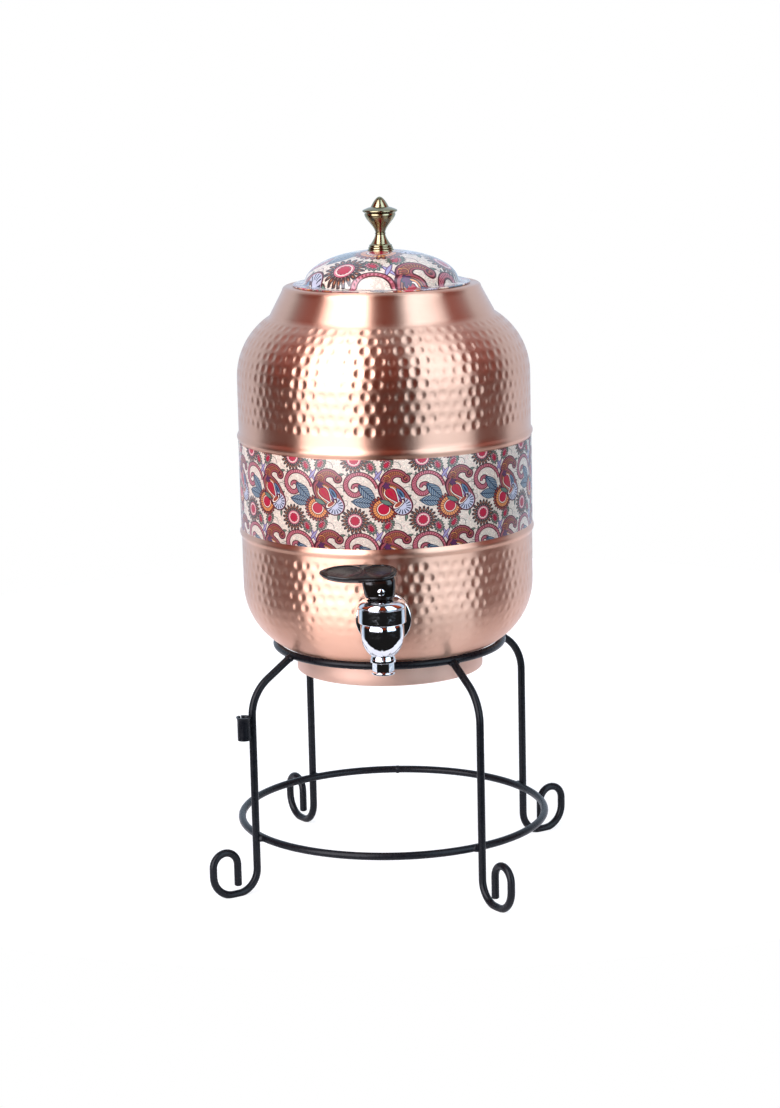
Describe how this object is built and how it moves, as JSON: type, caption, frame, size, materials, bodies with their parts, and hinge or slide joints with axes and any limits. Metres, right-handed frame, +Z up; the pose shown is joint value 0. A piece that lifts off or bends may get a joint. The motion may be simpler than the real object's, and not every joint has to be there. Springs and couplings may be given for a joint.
{
  "type": "copper water dispenser",
  "caption": "Hammered copper water dispenser with a printed band, domed lift-off lid, press-lever tap and a black rod stand with scroll feet.",
  "frame": {"origin": "on the floor, in the middle of the whole object's footprint; the tank's axis stands 9.97 mm behind it", "axes": "+Z up, -Y the way the tap faces, +X to the right of someone looking at the tap"},
  "size_m": [0.2348, 0.2548, 0.4474],
  "materials": {
    "stand": "satin black powder coat on steel rod",
    "copper": "hammered and satin polished copper sheet",
    "print": "satin printed paisley wrap",
    "lid_print": "copper sheet with a glossy printed paisley coat",
    "chrome": "bright chrome plate",
    "brass": "polished brass",
    "lever": "glossy black moulded plastic",
    "rubber": "matt black rubber",
    "steel": "plain stainless steel"
  },
  "bodies": {
    "stand": {"upper_ring": "stand", "lower_ring": "stand", "leg_front_right": "stand", "leg_rear_right": "stand", "leg_rear_left": "stand", "leg_front_left": "stand", "hook_socket": "stand"},
    "tank": {"lower_shell": "copper", "foot_ring": "copper", "upper_shell": "copper", "printed_band": "print", "tap_body": "chrome", "outer_washer": "rubber", "inner_washer": "rubber", "tap_nut": "brass", "bonnet_seal": "rubber", "tap_bonnet": "chrome", "return_spring": "steel"},
    "valve": {"valve_plug": "rubber"},
    "stem": {"tap_stem": "chrome", "lever_pin": "chrome"},
    "lever": {"tap_lever": "lever"},
    "lid": {"lid_dome": "lid_print", "lid_sleeve": "copper", "lid_knob": "brass", "knob_washer": "steel", "knob_screw": "steel"}
  },
  "joints": [
    {"name": "tank_lift", "type": "slide", "parent": "stand", "child": "tank", "axis": [0, 0, 1], "range_m": [0, 0.12]},
    {"name": "lid_lift", "type": "slide", "parent": "tank", "child": "lid", "axis": [0, 0, 1], "range_m": [0, 0.06]},
    {"name": "stem_lift", "type": "slide", "parent": "tank", "child": "valve", "axis": [0, 0, 1], "range_m": [0, 0.0037], "deforming": ["return_spring"]},
    {"name": "lever_swivel", "type": "hinge", "parent": "valve", "child": "stem", "pos_m": [0, -0.11253, 0.19111], "axis": [0, 0, 1], "range_deg": [-25, 205]},
    {"name": "lever_press", "type": "hinge", "parent": "stem", "child": "lever", "pos_m": [0, -0.11253, 0.21511], "axis": [0, -1, 0], "range_deg": [0, 30], "stiffness_Nm_per_rad": 0.15, "springref_deg": -28.65}
  ],
  "couplings": [
    {"joint": "lever_press", "follows": "stem_lift", "rad_per_m": 138.89}
  ]
}
